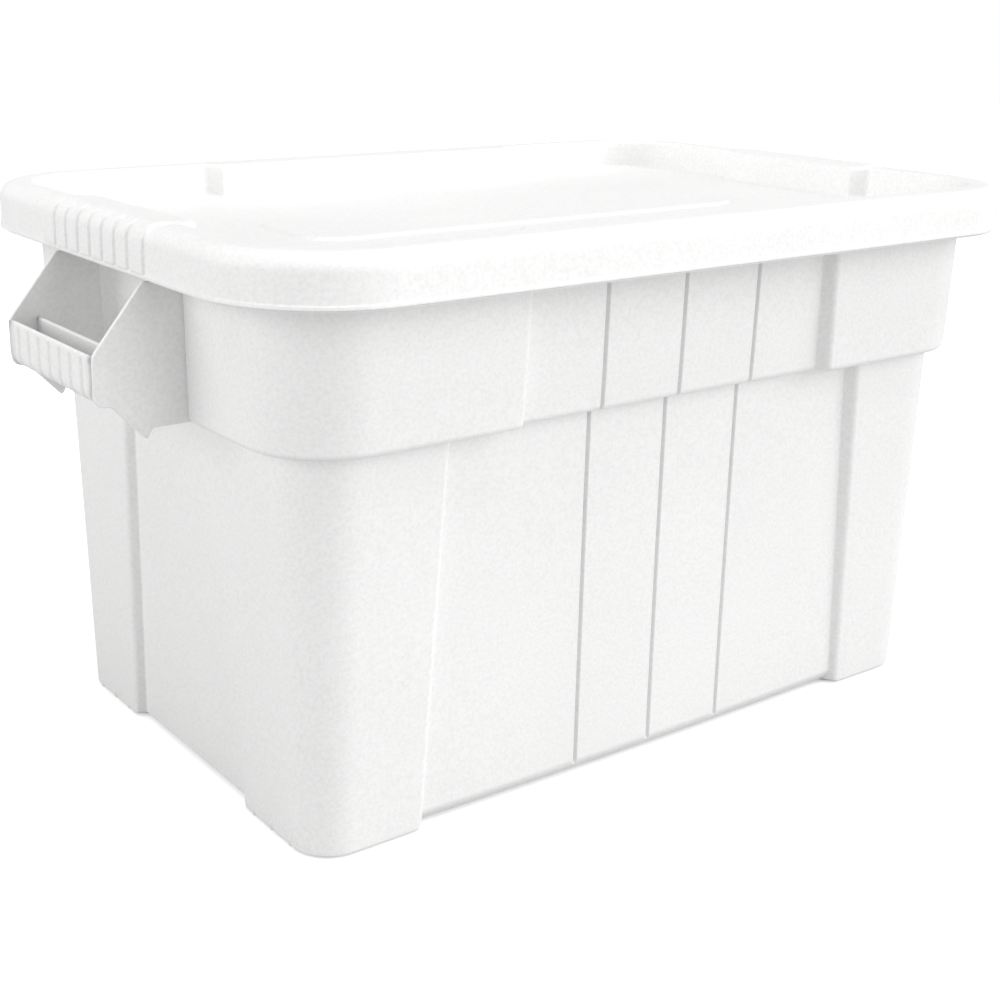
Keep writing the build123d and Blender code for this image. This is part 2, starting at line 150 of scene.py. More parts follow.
CHEEK_CUT, CHEEK_BEND_CUT, TOOTH_CUT, CHEEK_TIP_CUT = 2.5 * MM, 2.0 * MM, 3.0 * MM, 4.0 * MM
CHEEK_GAP = 0.2 * MM                      # between a cheek's foot and the ledge
BEAD_SLOPE = 1.2 * MM

# ---- skid ribs under the feet ----------------------------------------------
SKID_Y = (95 * MM, 118 * MM, 141 * MM)
SKID_HALF, SKID_PROUD, SKID_DEEP = 2.0 * MM, 0.9 * MM, 1.4 * MM


# ---- rings -----------------------------------------------------------------
Plan = namedtuple("Plan", "a b r pad_x pad_y deep_x deep_y groove bow")


def mix(low, high, share):
    return low + (high - low) * share


def bend(before, at, after, cut_in, cut_out, count):
    """Points of a small round at a corner of the plan."""
    before, at, after = (np.array(p) for p in (before, at, after))
    start = at + cut_in * (before - at) / np.linalg.norm(before - at)
    end = at + cut_out * (after - at) / np.linalg.norm(after - at)
    shares = np.linspace(0.0, 1.0, count)[:, None]
    return (1 - shares) ** 2 * start + 2 * shares * (1 - shares) * at + shares**2 * end


def between(start, end, count):
    """Points strictly between two points."""
    shares = np.linspace(0.0, 1.0, count + 2)[1:-1, None]
    return np.array(start) * (1 - shares) + np.array(end) * shares


def columns_about(centres, offsets, unit):
    """Column places about each groove's middle, from the outermost inwards to 0."""
    places = {round(c + side * o * unit, 7) for c in centres for o in offsets for side in (-1, 1)}
    return sorted(p for p in places if p >= 0.0)


def groove_shape(place, centres, half):
    """1 in the middle of a groove, 0 outside it, with rounded lips."""
    nearest = min(abs(place - c) for c in centres) / half
    return 0.5 + 0.5 * cos(pi * min(1.0, max(0.0, nearest - GROOVE_FLAT)))


PAD_COUNT, ARC_COUNT, OUTER_COUNT, INNER_COUNT = 4, 17, 6, 4
BODY_GROOVES = (0.0, GROOVE_PITCH)
BODY_MID = columns_about(BODY_GROOVES, GROOVE_COLUMNS, GROOVE_HALF)
ZONE_GROOVES = tuple(i * ZONE_PITCH for i in range(4))
LID_MID = columns_about(ZONE_GROOVES, ZONE_COLUMNS, ZONE_GROOVE_HALF)


def step_cuts(deep):
    """How far the outer and inner rounds of a step reach, within the step's face."""
    face = abs(deep) * sqrt(1 + STEP_SLOPE**2)
    return min(OUTER_CUT, 0.55 * face), min(INNER_CUT, 0.35 * face)


def quarter(plan, end_places, long_places):
    """One quarter of a ring, from the X axis round the corner to the Y axis."""
    a, b, r = plan.a, plan.b, plan.r
    shelf_x, shelf_y = a - plan.deep_x, b - plan.deep_y
    root_y, root_x = (
        plan.pad_y - STEP_SLOPE * plan.deep_x,
        plan.pad_x - STEP_SLOPE * plan.deep_y,
    )
    outer_x, inner_x = step_cuts(plan.deep_x)
    outer_y, inner_y = step_cuts(plan.deep_y)
    points = [np.array([[shelf_x, y] for y in end_places])]
    points.append(between((shelf_x, end_places[-1]), (shelf_x, root_y - INNER_CUT), 1))
    points.append(
        bend((shelf_x, 0), (shelf_x, root_y), (a + HAIR, plan.pad_y), INNER_CUT, inner_x, INNER_COUNT)
    )
    points.append(
        bend((shelf_x - HAIR, root_y), (a, plan.pad_y), (a, b), outer_x, OUTER_CUT, OUTER_COUNT)
    )
    points.append(between((a, plan.pad_y + OUTER_CUT), (a, b - r), PAD_COUNT))
    turns = np.linspace(0.0, pi / 2, ARC_COUNT)
    points.append(np.stack([a - r + r * np.cos(turns), b - r + r * np.sin(turns)], axis=1))
    points.append(between((a - r, b), (plan.pad_x + OUTER_CUT, b), PAD_COUNT))
    points.append(
        bend((a, b), (plan.pad_x, b), (root_x, shelf_y - HAIR), OUTER_CUT, outer_y, OUTER_COUNT)
    )
    points.append(
        bend((plan.pad_x, b + HAIR), (root_x, shelf_y), (0, shelf_y), inner_y, INNER_CUT, INNER_COUNT)
    )
    points.append(between((root_x - INNER_CUT, shelf_y), (long_places[-1], shelf_y), 2))
    points.append(np.array([[x, shelf_y] for x in reversed(long_places)]))
    outline = np.concatenate(points)
    middle = len(outline) - len(long_places) - 2 - INNER_COUNT
    for i in range(middle, len(outline)):
        x = outline[i, 0]
        outline[i, 1] += plan.bow * max(0.0, 1.0 - (x / root_x) ** 2)
        outline[i, 1] -= plan.groove * groove_shape(x, BODY_GROOVES, GROOVE_HALF)
    return outline


def ring(points):
    """The whole ring from the points (x, y, z) of its first quarter."""
    half = np.concatenate([points, points[-2::-1] * (-1, 1, 1)])
    return np.concatenate([half, half[-2:0:-1] * (1, -1, 1)])


END_MIDDLE = 30.0 * MM
END_BODY = tuple(np.linspace(0.0, END_MIDDLE, 5))


def foot_share():
    """For each column of a quarter: 0 between the pads, 1 on them, ramps on the steps."""
    ramp_up = np.linspace(0.0, 1.0, INNER_COUNT + OUTER_COUNT)
    on_pad = np.ones(2 * PAD_COUNT + ARC_COUNT)
    shares = [np.zeros(len(END_BODY) + 1), ramp_up, on_pad, ramp_up[::-1], np.zeros(2 + len(BODY_MID))]
    return np.concatenate(shares)


def body_ring(plan, z, mid_z=None):
    """A ring of the body; mid_z is its height between the pads, if not z."""
    flat = quarter(plan, END_BODY, BODY_MID)
    share = foot_share()
    heights = z * share + (z if mid_z is None else mid_z) * (1 - share)
    return ring(np.column_stack([flat, heights]))


def lower_plan(z, inset=0.0, groove=0.0, mid_inset=0.0):
    share = z / BAND_BOTTOM
    return Plan(
        mix(BASE_A, LOWER_A, share) - inset,
        mix(BASE_B, LOWER_B, share) - inset,
        mix(BASE_R, LOWER_R, share) - inset,
        mix(BASE_PAD_X, LOWER_PAD_X, share) + MITRE * inset,
        mix(BASE_PAD_Y, LOWER_PAD_Y, share) + MITRE * inset,
        END_RECESS,
        mix(BASE_RECESS, LOWER_RECESS, share) + mid_inset,
        groove,
        BASE_BOW * max(0.0, 1.0 - share) ** BOW_FADE,
    )


def band_plan(z, inset=0.0, groove=0.0):
    share = (z - BAND_BOTTOM) / (RIM_BOTTOM - BAND_BOTTOM)
    return Plan(
        mix(BAND_LOW_A, BAND_TOP_A, share) - inset,
        mix(BAND_LOW_B, BAND_TOP_B, share) - inset,
        BAND_R - inset,
        mix(BAND_LOW_PAD_X, BAND_TOP_PAD_X, share) + MITRE * inset,
        BAND_PAD_Y + MITRE * inset,
        POCKET_RECESS,
        BAND_RECESS,
        groove,
        0.0,
    )


def rim_plan(outset):
    return Plan(
        BAND_TOP_A + outset,
        BAND_TOP_B + outset,
        BAND_R + outset,
        BAND_TOP_PAD_X - MITRE * outset,
        BAND_PAD_Y - MITRE * outset,
        POCKET_RECESS,
        BAND_RECESS,
        0.0,
        0.0,
    )


def quarter_turns(count):
    """sin and cos of a quarter turn in count steps."""
    return [(sin(pi / 2 * i / count), cos(pi / 2 * i / count)) for i in range(count + 1)]


def cross_ring(z, mid_z):
    """Edge of the cross-shaped hollow under the floor, with the body's columns."""
    (long_x, long_y), (short_x, short_y) = CROSS_LONG, CROSS_SHORT
    share = foot_share()
    end_count = len(END_BODY) + 1
    step = INNER_COUNT + OUTER_COUNT
    pads = 2 * PAD_COUNT + ARC_COUNT
    end = [(short_x, y) for y in np.linspace(0.0, 0.9 * short_y, end_count)]
    end += [(short_x, mix(0.92 * short_y, short_y, i / (step - 1))) for i in range(step)]
    first, second = (pads + 1) // 2, pads // 2
    end += [(mix(short_x, long_x, (i + 1) / first), short_y) for i in range(first)]
    end += [(long_x, mix(short_y, long_y, (i + 1) / (second + 1))) for i in range(second)]
    end += [(mix(long_x, 0.96 * long_x, i / (step - 1)), long_y) for i in range(step)]
    end += [(mix(0.95 * long_x, BODY_MID[-1], (i + 1) / 3), long_y) for i in range(2)]
    end += [(x, long_y) for x in reversed(BODY_MID)]
    return ring(np.column_stack([np.array(end), z * share + mid_z * (1 - share)]))


# ---- meshes ----------------------------------------------------------------
def grid_object(name, rings, material):
    """Closed mesh through rings of equal count, capped at both ends."""
    count = len(rings[0])
    vertices = np.concatenate(rings)
    faces = []
    for r in range(len(rings) - 1):
        for c in range(count):
            d = (c + 1) % count
            low, high = r * count, (r + 1) * count
            faces.append((low + c, low + d, high + d, high + c))
    faces.append(tuple(range(count))[::-1])
    faces.append(tuple(range((len(rings) - 1) * count, len(rings) * count)))
    return mesh_object(name, vertices, faces, material)


def mesh_object(name, vertices, faces, material):
    mesh = bpy.data.meshes.new(name)
    mesh.from_pydata([tuple(map(float, v)) for v in vertices], [], faces)
    work = bmesh.new()
    work.from_mesh(mesh)
    bmesh.ops.remove_doubles(work, verts=work.verts, dist=0.002 * MM)
    bmesh.ops.recalc_face_normals(work, faces=work.faces)
    for face in work.faces:
        face.smooth = True
    work.to_mesh(mesh)
    work.free()
    mesh.materials.append(material)
    made = bpy.data.objects.new(name, mesh)
    bpy.context.scene.collection.objects.link(made)
    weighted = made.modifiers.new("even_shading", "WEIGHTED_NORMAL")
    weighted.weight = 60
    return made


def body_rings():
    rings = [cross_ring(FLOOR_UNDERSIDE, FLOOR_UNDERSIDE)]
    rings.append(cross_ring(FOOT_RELIEF, MID_LIFT))
    for s, c in quarter_turns(4):
        z = FOOT_RELIEF + FOOT_ROUND * (1 - c)
        mid_inset = BEVEL_DEEP + (MID_ROUND - FOOT_ROUND) * (1 - s)
        plan = lower_plan(z, FOOT_ROUND * (1 - s), 0.0, mid_inset)
        rings.append(body_ring(plan, z, MID_LIFT + MID_ROUND * (1 - c)))
    bevel_low = MID_LIFT + MID_ROUND
    for share in np.linspace(0.0, 1.0, 9)[1:]:
        z = mix(bevel_low, bevel_low + BEVEL_HIGH, share)
        groove = GROOVE_DEPTH * min(1.0, max(0.0, 2 * share - 1)) ** GROOVE_RUN_IN
        plan = lower_plan(z, 0.0, groove, BEVEL_DEEP * (1 - share) ** BEVEL_FADE)
        rings.append(body_ring(plan, z + PAD_LAG, z))
    for share in np.linspace(0.0, 1.0, 10)[1:]:
        z = mix(bevel_low + BEVEL_HIGH, BAND_BOTTOM - ROOT_ROUND, share)
        rings.append(body_ring(lower_plan(z, 0.0, GROOVE_DEPTH), z))
    for s, c in quarter_turns(3)[1:]:
        z = BAND_BOTTOM - ROOT_ROUND * (1 - s)
        rings.append(body_ring(lower_plan(BAND_BOTTOM, -ROOT_ROUND * (1 - c), GROOVE_DEPTH), z))
    for s, c in quarter_turns(5):
        z = BAND_BOTTOM + BAND_ROUND * (1 - c)
        rings.append(body_ring(band_plan(BAND_BOTTOM, BAND_ROUND * (1 - s), GROOVE_DEPTH), z))
    for share in np.linspace(0.0, 1.0, 6)[1:]:
        z = mix(BAND_BOTTOM + BAND_ROUND, RIM_BOTTOM - ROOT_ROUND, share)
        rings.append(body_ring(band_plan(z, 0.0, GROOVE_DEPTH), z))
    return rings + rim_rings() + inner_rings()


def rim_rings():
    """The rim: out under the lid's skirt, up, its lip, and over to the inside."""
    rings = []
    for s, c in quarter_turns(3)[1:]:
        z = RIM_BOTTOM - ROOT_ROUND * (1 - s)
        rings.append(body_ring(band_plan(RIM_BOTTOM, -ROOT_ROUND * (1 - c), GROOVE_DEPTH * (1 - s)), z))
    edge, lip = RIM_EDGE, RIM_OUT + LIP_OUT
    for s, c in quarter_turns(3):
        rings.append(body_ring(rim_plan(RIM_OUT - edge * (1 - s)), RIM_BOTTOM + edge * (1 - c)))
    lip_bottom = RIM_TOP - LIP_HEIGHT
    rings.append(body_ring(rim_plan(RIM_OUT), lip_bottom - LIP_LEAD))
    rings.append(body_ring(rim_plan(RIM_OUT + LIP_LEAD), lip_bottom))
    for s, c in quarter_turns(3):
        rings.append(body_ring(rim_plan(lip - edge * (1 - s)), lip_bottom + edge * (1 - c)))
    for s, c in quarter_turns(3):
        rings.append(body_ring(rim_plan(lip - edge * (1 - c)), RIM_TOP - edge * (1 - s)))
    for s, c in quarter_turns(3):
        rings.append(body_ring(rim_plan(RIM_OUT - WALL + edge * (1 - s)), RIM_TOP - edge * (1 - c)))
    return rings


def inner_rings():
    """Down the inside, past the shelf above the ledge, to the floor."""
    rings = []
    shelf = RIM_BOTTOM + WALL
    for s, c in quarter_turns(3):
        z = shelf + ROOT_ROUND * (1 - s)
        rings.append(body_ring(rim_plan(RIM_OUT - WALL - ROOT_ROUND * (1 - c)), z))
    for s, c in quarter_turns(3):
        z = shelf - ROOT_ROUND * (1 - c)
        rings.append(body_ring(band_plan(RIM_BOTTOM, WALL - ROOT_ROUND * (1 - s), 0.0), z))
    ledge = BAND_BOTTOM + WALL
    for share in np.linspace(0.0, 1.0, 5):
        z = mix(shelf - SHELF_DROP, ledge + ROOT_ROUND, share)
        rings.append(body_ring(band_plan(z, WALL, GROOVE_DEPTH), z))
    for s, c in quarter_turns(3)[1:]:
        z = ledge + ROOT_ROUND * (1 - s)
        rings.append(body_ring(band_plan(ledge, WALL + ROOT_ROUND * (1 - c), GROOVE_DEPTH), z))
    for s, c in quarter_turns(3):
        z = ledge - ROOT_ROUND * (1 - c)
        rings.append(body_ring(lower_plan(BAND_BOTTOM, WALL - ROOT_ROUND * (1 - s), GROOVE_DEPTH), z))
    for share in np.linspace(0.0, 1.0, 8)[1:]:
        z = mix(BAND_BOTTOM - ROOT_ROUND, FLOOR_TOP + FLOOR_ROUND, share)
        rings.append(body_ring(lower_plan(z, WALL, GROOVE_DEPTH if share < 1 else 0.0), z))
    for s, c in quarter_turns(5)[1:]:
        z = FLOOR_TOP + FLOOR_ROUND * (1 - s)
        rings.append(body_ring(lower_plan(FLOOR_TOP + FLOOR_ROUND, WALL + FLOOR_ROUND * (1 - c)), z))
    return rings


# ---- lid -------------------------------------------------------------------
LID_MIDDLE = 110.0 * MM
LONG_LID = tuple(np.linspace(0.0, LID_MIDDLE, 7))


def lid_quarter(a, b, r, pad_x, pad_y, deep):
    return quarter(Plan(a, b, r, pad_x, pad_y, deep, deep, 0.0, 0.0), LID_MID, LONG_LID)


def zone_share(y):
    """1 across a finger zone, 0 beyond it, with an eased edge."""
    edge = min(1.0, max(0.0, (ZONE_HALF - y) / ZONE_EDGE + 0.5))
    return edge * edge * (3 - 2 * edge)


def skirt_ring(inset, z, proud=0.0):
    """Ring of the lid's outer form.  proud is how far the finger zones stand out."""
    flat = lid_quarter(LID_A - inset, LID_B - inset, LID_R - inset, WELL_PAD_X, ZONE_HALF, 0.0)
    points = np.column_stack([flat, np.full(len(flat), z)])
    if proud:
        for i, y in enumerate(flat[:, 1]):
            cut = ZONE_CUT / ZONE_PROUD * groove_shape(y, ZONE_GROOVES, ZONE_GROOVE_HALF)
            points[i, 0] += zone_share(y) * proud * (1 - cut)
    return points


def ridge_points(flat, z, rise, cut):
    """Ring over the ridge; the finger zones stand up by rise, their grooves by cut of it."""
    points = np.column_stack([flat, np.full(len(flat), z)])
    for i, (x, y) in enumerate(flat):
        if x >= 0.9 * WELL_A - WELL_STEP:
            groove = groove_shape(y, ZONE_GROOVES, ZONE_GROOVE_HALF)
            points[i, 2] += zone_share(y) * rise * (1 - cut * groove)
    return points


def well_flat(outset):
    return lid_quarter(
        WELL_A + outset,
        WELL_B + outset,
        WELL_R + outset,
        WELL_PAD_X - MITRE * outset,
        WELL_PAD_Y - MITRE * outset,
        WELL_STEP,
    )


def level(flat, z):
    return np.column_stack([flat, np.full(len(flat), z)])


def lid_rings():
    """From under the well's floor out, round the skirt, over the ridge and into the well."""
    roof = RIDGE_TOP - LID_WALL
    heights = (WELL_FLOOR - LID_WALL, roof - ROOF_DROP)
    quarters = [level(well_flat(WELL_WALL), z) for z in heights]
    quarters.append(level(well_flat(LID_WALL), roof))
    inside_round = LID_ROUND - LID_WALL
    for s, c in quarter_turns(5):
        inset = LID_WALL + SKIRT_DRAFT + inside_round * (1 - s)
        quarters.append(skirt_ring(inset, roof - inside_round * (1 - c)))
    for z, share in SNAP_PROFILE:
        quarters.append(skirt_ring(LID_WALL + SNAP_BEAD * share, SKIRT_BOTTOM + z * MM))
    for inset, z in REBATE:
        quarters.append(skirt_ring(inset * MM, SKIRT_BOTTOM + z * MM))
    for share, down, zone in BEAD_TOP:
        z = SKIRT_BOTTOM + BEAD_HEIGHT - down * MM
        quarters.append(skirt_ring(share * SKIRT_BEAD, z, zone * ZONE_PROUD))
    shoulder = RIDGE_TOP - LID_ROUND
    for share in (0.05, 0.3, 0.55, 0.8):
        z = mix(SKIRT_BOTTOM + BEAD_HEIGHT, shoulder, share)
        quarters.append(skirt_ring(mix(SKIRT_BEAD, SKIRT_DRAFT, share), z, ZONE_PROUD))
    for s, c in quarter_turns(9):
        inset = SKIRT_DRAFT + LID_ROUND * (1 - c)
        points = skirt_ring(inset, shoulder + LID_ROUND * s, ZONE_PROUD * c)
        cut = min(1.0, max(0.0, (GROOVE_ENDS - s) / GROOVE_FADE))
        quarters.append(ridge_points(points[:, :2], shoulder + LID_ROUND * s, ZONE_LIFT * s, cut))
    crest = well_flat(WELL_ROUND)
    outer_edge = quarters[-1]
    for share, rise in ZONE_RISES:
        flat = mix(outer_edge[:, :2], crest, share)
        quarters.append(ridge_points(flat, RIDGE_TOP, rise * MM, 0.0))
    for s, c in quarter_turns(5):
        quarters.append(level(well_flat(WELL_ROUND * (1 - s)), RIDGE_TOP - WELL_ROUND * (1 - c)))
    foot_top = WELL_FLOOR + WELL_ROUND
    quarters.append(level(well_flat(-0.5 * WELL_DRAFT), mix(RIDGE_TOP - WELL_ROUND, foot_top, 0.5)))
    for s, c in quarter_turns(4):
        outset = -WELL_DRAFT - WELL_ROUND * (1 - c)
        quarters.append(level(well_flat(outset), WELL_FLOOR + WELL_ROUND * (1 - s)))
    quarters += panel_quarters()
    return [ring(q) for q in quarters]


def panel_quarters():
    """The slightly raised panel in the middle of the well."""
    rings = []
    for outset, rise in PANEL_EDGE:
        outset *= MM
        flat = panel_flat(PANEL_A + outset, PANEL_B + outset, PANEL_R + outset)
        rings.append(level(flat, WELL_FLOOR + rise * PANEL_RISE))
    return rings


def panel_flat(a, b, r):
    """A rounded rectangle with the lid's columns spread over it."""
    count = len(LID_MID) + 1 + 2 * (INNER_COUNT + OUTER_COUNT) + 2 * PAD_COUNT + ARC_COUNT
    count += 2 + len(LONG_LID)
    side = len(LID_MID) + 1 + INNER_COUNT + OUTER_COUNT + PAD_COUNT
    end = count - side - ARC_COUNT
    turns = np.linspace(0.0, pi / 2, ARC_COUNT)
    first = np.stack([np.full(side, a), np.linspace(0.0, b - r, side + 1)[:-1]], axis=1)
    arc = np.stack([a - r + r * np.cos(turns), b - r + r * np.sin(turns)], axis=1)
    last = np.stack([np.linspace(a - r, 0.0, end + 1)[1:], np.full(end, b)], axis=1)
    return np.concatenate([first, arc, last])


# ---- handles ---------------------------------------------------------------
def rounded_outline(corners, count=6):
    """Closed outline through (x, z, cut) corners, each rounded over its cut."""
    points = []
    for i, (x, z, cut) in enumerate(corners):
        before, after = corners[i - 1][:2], corners[(i + 1) % len(corners)][:2]
        points.append(bend(before, (x, z), after, cut, cut, count))
    return np.concatenate(points)


def inset_outline(outline, inset):
    """The outline moved inwards along its normals; it runs anticlockwise."""
    along = np.roll(outline, -1, axis=0) - np.roll(outline, 1, axis=0)
    along /= np.linalg.norm(along, axis=1)[:, None]
    return outline + inset * np.column_stack([-along[:, 1], along[:, 0]])


def cheek_outline():
    wall = BAND_LOW_A - POCKET_RECESS - WALL
    slope = (CHEEK_TOP - GRIP_TOP) / (CHEEK_TOP_X - GRIP_OUT)
    top_at_grip = CHEEK_TOP + slope * (GRIP_OUT - CHEEK_TOP_X)
    bottom = BAND_BOTTOM + CHEEK_GAP
    corners = [
        (wall, CHEEK_TOP, CHEEK_CUT),
        (wall, bottom, CHEEK_CUT),
        (TOOTH_X - TOOTH_WIDTH, bottom, CHEEK_CUT),
        (TOOTH_X, GRIP_LOW.z, TOOTH_CUT),
        (GRIP_OUT - GRIP_BEND, GRIP_BOTTOM, CHEEK_BEND_CUT),
        (GRIP_OUT, GRIP_BOTTOM, 0.8 * GRIP_BEND),
        (GRIP_OUT, top_at_grip, CHEEK_TIP_CUT),
        (CHEEK_TOP_X, CHEEK_TOP, CHEEK_CUT),
    ]
    return rounded_outline(corners)


def plate(outline, middle_y, thickness, edge):
    """Rings of a flat plate with rounded edges, standing across Y."""
    rings = []
    half = thickness / 2
    for s, c in quarter_turns(3):
        flat = inset_outline(outline, edge * (1 - s))
        rings.append(np.insert(flat, 1, middle_y - half + edge * (1 - c), axis=1))
    for s, c in quarter_turns(3):
        flat = inset_outline(outline, edge * (1 - c))
        rings.append(np.insert(flat, 1, middle_y + half - edge * (1 - s), axis=1))
    return rings


def grip_centres():
    return [(i - (GRIP_GROOVES - 1) / 2) * GRIP_PITCH for i in range(GRIP_GROOVES)]


def trough_outline(y):
    """Section of the grip: an upright channel, open at the top, grooved in front."""
    centre_x = GRIP_OUT - GRIP_BEND
    bend_z = GRIP_BOTTOM + GRIP_BEND
    inner = GRIP_BEND - CHEEK_WALL
    groove = GRIP_GROOVE_DEPTH * groove_shape(y, grip_centres(), GRIP_GROOVE_HALF)
    lip = CHEEK_WALL / 2
    turns = np.linspace(0.0, pi, 17)
    outer = []
    for t in turns:
        depth = groove * max(0.0, cos(t)) ** 0.5
        radius = GRIP_BEND - depth
        outer.append((centre_x + radius * cos(t), bend_z - radius * sin(t)))
    upright = [(GRIP_OUT, GRIP_TOP - lip), (GRIP_OUT, GRIP_TOP - GRIP_BEAD)]
    below_bead = GRIP_TOP - GRIP_BEAD - BEAD_SLOPE
    upright += [(GRIP_OUT - groove, z) for z in np.linspace(below_bead, bend_z, 4)[:-1]]
    back = [(GRIP_OUT - 2 * GRIP_BEND, z) for z in np.linspace(bend_z, GRIP_TOP - lip, 5)[1:]]
    back_x = GRIP_OUT - 2 * GRIP_BEND + lip
    front_x = GRIP_OUT - lip
    over_back = [(back_x - lip * cos(t), GRIP_TOP - lip + lip * sin(t)) for t in turns[2:-2:2]]
    down = [(centre_x - inner, z) for z in np.linspace(GRIP_TOP - lip, bend_z, 5)[:-1]]
    inside = [(centre_x - inner * cos(t), bend_z - inner * sin(t)) for t in turns[::2]]
    up = [(centre_x + inner, z) for z in np.linspace(bend_z, GRIP_TOP - lip, 5)[1:]]
    over_front = [(front_x - lip * cos(t), GRIP_TOP - lip + lip * sin(t)) for t in turns[2:-2:2]]
    return np.array(upright + outer + back + over_back + down + inside + up + over_front)


def trough_rings():
    end = GRIP_HALF - CHEEK_WALL / 2
    offsets = [o * GRIP_GROOVE_HALF for o in GRIP_COLUMNS]
    places = [-end] + [c + o for c in grip_centres() for o in offsets] + [end]
    return [np.insert(trough_outline(y), 1, y, axis=1) for y in places]


def handle(name, side):
    """One handle: two cheek plates and the trough between them, joined in one object."""
    parts = []
    cheek_y = GRIP_HALF - CHEEK_WALL / 2
    for y in (-cheek_y, cheek_y):
        cheek = plate(cheek_outline(), y, CHEEK_WALL, GRIP_ROUND)
        parts.append(grid_object(name, cheek, TOTE_PLASTIC))
    parts.append(grid_object(name, trough_rings(), TOTE_PLASTIC))
    return join(name, parts, side)


def join(name, parts, side=1):
    """One tote object from several closed ones, turned to the other end if side is -1."""
    work = bmesh.new()
    for part in parts:
        work.from_mesh(part.data)
        bpy.data.objects.remove(part)
    bmesh.ops.scale(work, vec=(side, 1, 1), verts=work.verts)
    bmesh.ops.recalc_face_normals(work, faces=work.faces)
    mesh = bpy.data.meshes.new(name)
    work.to_mesh(mesh)
    work.free()
    mesh.materials.append(TOTE_PLASTIC)
    made = bpy.data.objects.new(name, mesh)
    bpy.context.scene.collection.objects.link(made)
    made.modifiers.new("even_shading", "WEIGHTED_NORMAL").weight = 60
    return made


# ---- skid ribs under the feet ----------------------------------------------
def skid_path(wall):
    """Crest of a skid rib in X and Z: under the foot, round its edge and up the wall."""
    start = CROSS_LONG[0] + 4 * MM
    return (
        (start, SKID_PROUD),
        (start + 3 * MM, 0.1 * MM),
        (wall - 3 * MM, 0.0),
        (wall + 0.4 * SKID_PROUD, 2 * MM),
        (wall + 0.6 * SKID_PROUD, 7 * MM),
        (wall - 0.6 * MM, 11 * MM),
    )


def skid(side_x, y):
    """A low rounded rib that runs under a foot and a little way up the end wall."""
    wall = BASE_A + 0.2 * MM
    rings = []
    for x, z in skid_path(wall):
        upright = x > wall - 1 * MM
        section = []
        for t in np.linspace(0.0, pi, 9):
            into = SKID_DEEP * (1 - sin(t))
            at_x, at_z = (x - into, z) if upright else (x, z + into)
            section.append((at_x, y - SKID_HALF * cos(t), at_z))
        rings.append(np.array(section) * (side_x, 1, 1))
    return rings


def skid_ribs():
    parts = []
    for side_x in (-1, 1):
        for side_y in (-1, 1):
            for y in SKID_Y:
                parts.append(grid_object("skid_ribs", skid(side_x, side_y * y), TOTE_PLASTIC))
    return join("skid_ribs", parts)


# ---- materials -------------------------------------------------------------
GRAIN_SCALE, FLOW_SCALE, SCUFF_SCALE, WAVE_SCALE = 420.0, 5.0, 60.0, 11.0
FLOW_TONE, GRAIN_TONE = 0.965, 0.93       # darkest share of the tint
ROUGH_LOW, ROUGH_HIGH = 0.42, 0.58
FINE_BUMP, FINE_DEPTH = 0.35, 0.3 * MM
WAVE_BUMP, WAVE_DEPTH = 0.12, 4.0 * MM


def plastic(name, tint, seed):
    """White moulded polyethylene: fine grain, faint flow marks and light scuffs."""
    material = bpy.data.materials.new(name)
    material.use_nodes = True
    nodes, links = material.node_tree.nodes, material.node_tree.links
    shader = nodes["Principled BSDF"]
    shader.inputs["IOR"].default_value = 1.5
    shader.inputs["Subsurface Weight"].default_value = 0.06
    shader.inputs["Subsurface Radius"].default_value = (1.0, 1.0, 0.9)
    shader.inputs["Subsurface Scale"].default_value = 0.001
    place = nodes.new("ShaderNodeTexCoord")
    shift = nodes.new("ShaderNodeMapping")
    shift.inputs["Location"].default_value = (seed, seed, seed)
    links.new(place.outputs["Object"], shift.inputs["Vector"])

    def noise(scale, detail, rough=0.55):
        node = nodes.new("ShaderNodeTexNoise")
        node.inputs["Scale"].default_value = scale
        node.inputs["Detail"].default_value = detail
        node.inputs["Roughness"].default_value = rough
        links.new(shift.outputs["Vector"], node.inputs["Vector"])
        return node.outputs["Fac"]

    def ramp(source, low, high, dark, light):
        node = nodes.new("ShaderNodeValToRGB")
        node.color_ramp.elements[0].position = low
        node.color_ramp.elements[1].position = high
        node.color_ramp.elements[0].color = (*dark, 1)
        node.color_ramp.elements[1].color = (*light, 1)
        links.new(source, node.inputs["Fac"])
        return node.outputs["Color"]

    grain = noise(GRAIN_SCALE, 2.0, 0.6)
    flow = noise(FLOW_SCALE, 3.0)
    scuff = noise(SCUFF_SCALE, 6.0, 0.7)
    tone = [t * FLOW_TONE for t in tint]
    fleck = nodes.new("ShaderNodeMixRGB")
    fleck.blend_type = "MULTIPLY"
    fleck.inputs["Fac"].default_value = 1.0
    links.new(ramp(flow, 0.3, 0.7, tone, tint), fleck.inputs["Color1"])
    links.new(ramp(grain, 0.3, 0.62, (GRAIN_TONE,) * 3, (1.0,) * 3), fleck.inputs["Color2"])
    links.new(fleck.outputs["Color"], shader.inputs["Base Color"])
    rough = ramp(scuff, 0.35, 0.75, (ROUGH_LOW,) * 3, (ROUGH_HIGH,) * 3)
    links.new(rough, shader.inputs["Roughness"])

    fine = nodes.new("ShaderNodeBump")
    fine.inputs["Strength"].default_value = FINE_BUMP
    fine.inputs["Distance"].default_value = FINE_DEPTH
    links.new(grain, fine.inputs["Height"])
    broad = nodes.new("ShaderNodeBump")
    broad.inputs["Strength"].default_value = WAVE_BUMP
    broad.inputs["Distance"].default_value = WAVE_DEPTH
    links.new(noise(WAVE_SCALE, 2.0), broad.inputs["Height"])
    links.new(fine.outputs["Normal"], broad.inputs["Normal"])
    links.new(broad.outputs["Normal"], shader.inputs["Normal"])
    return material


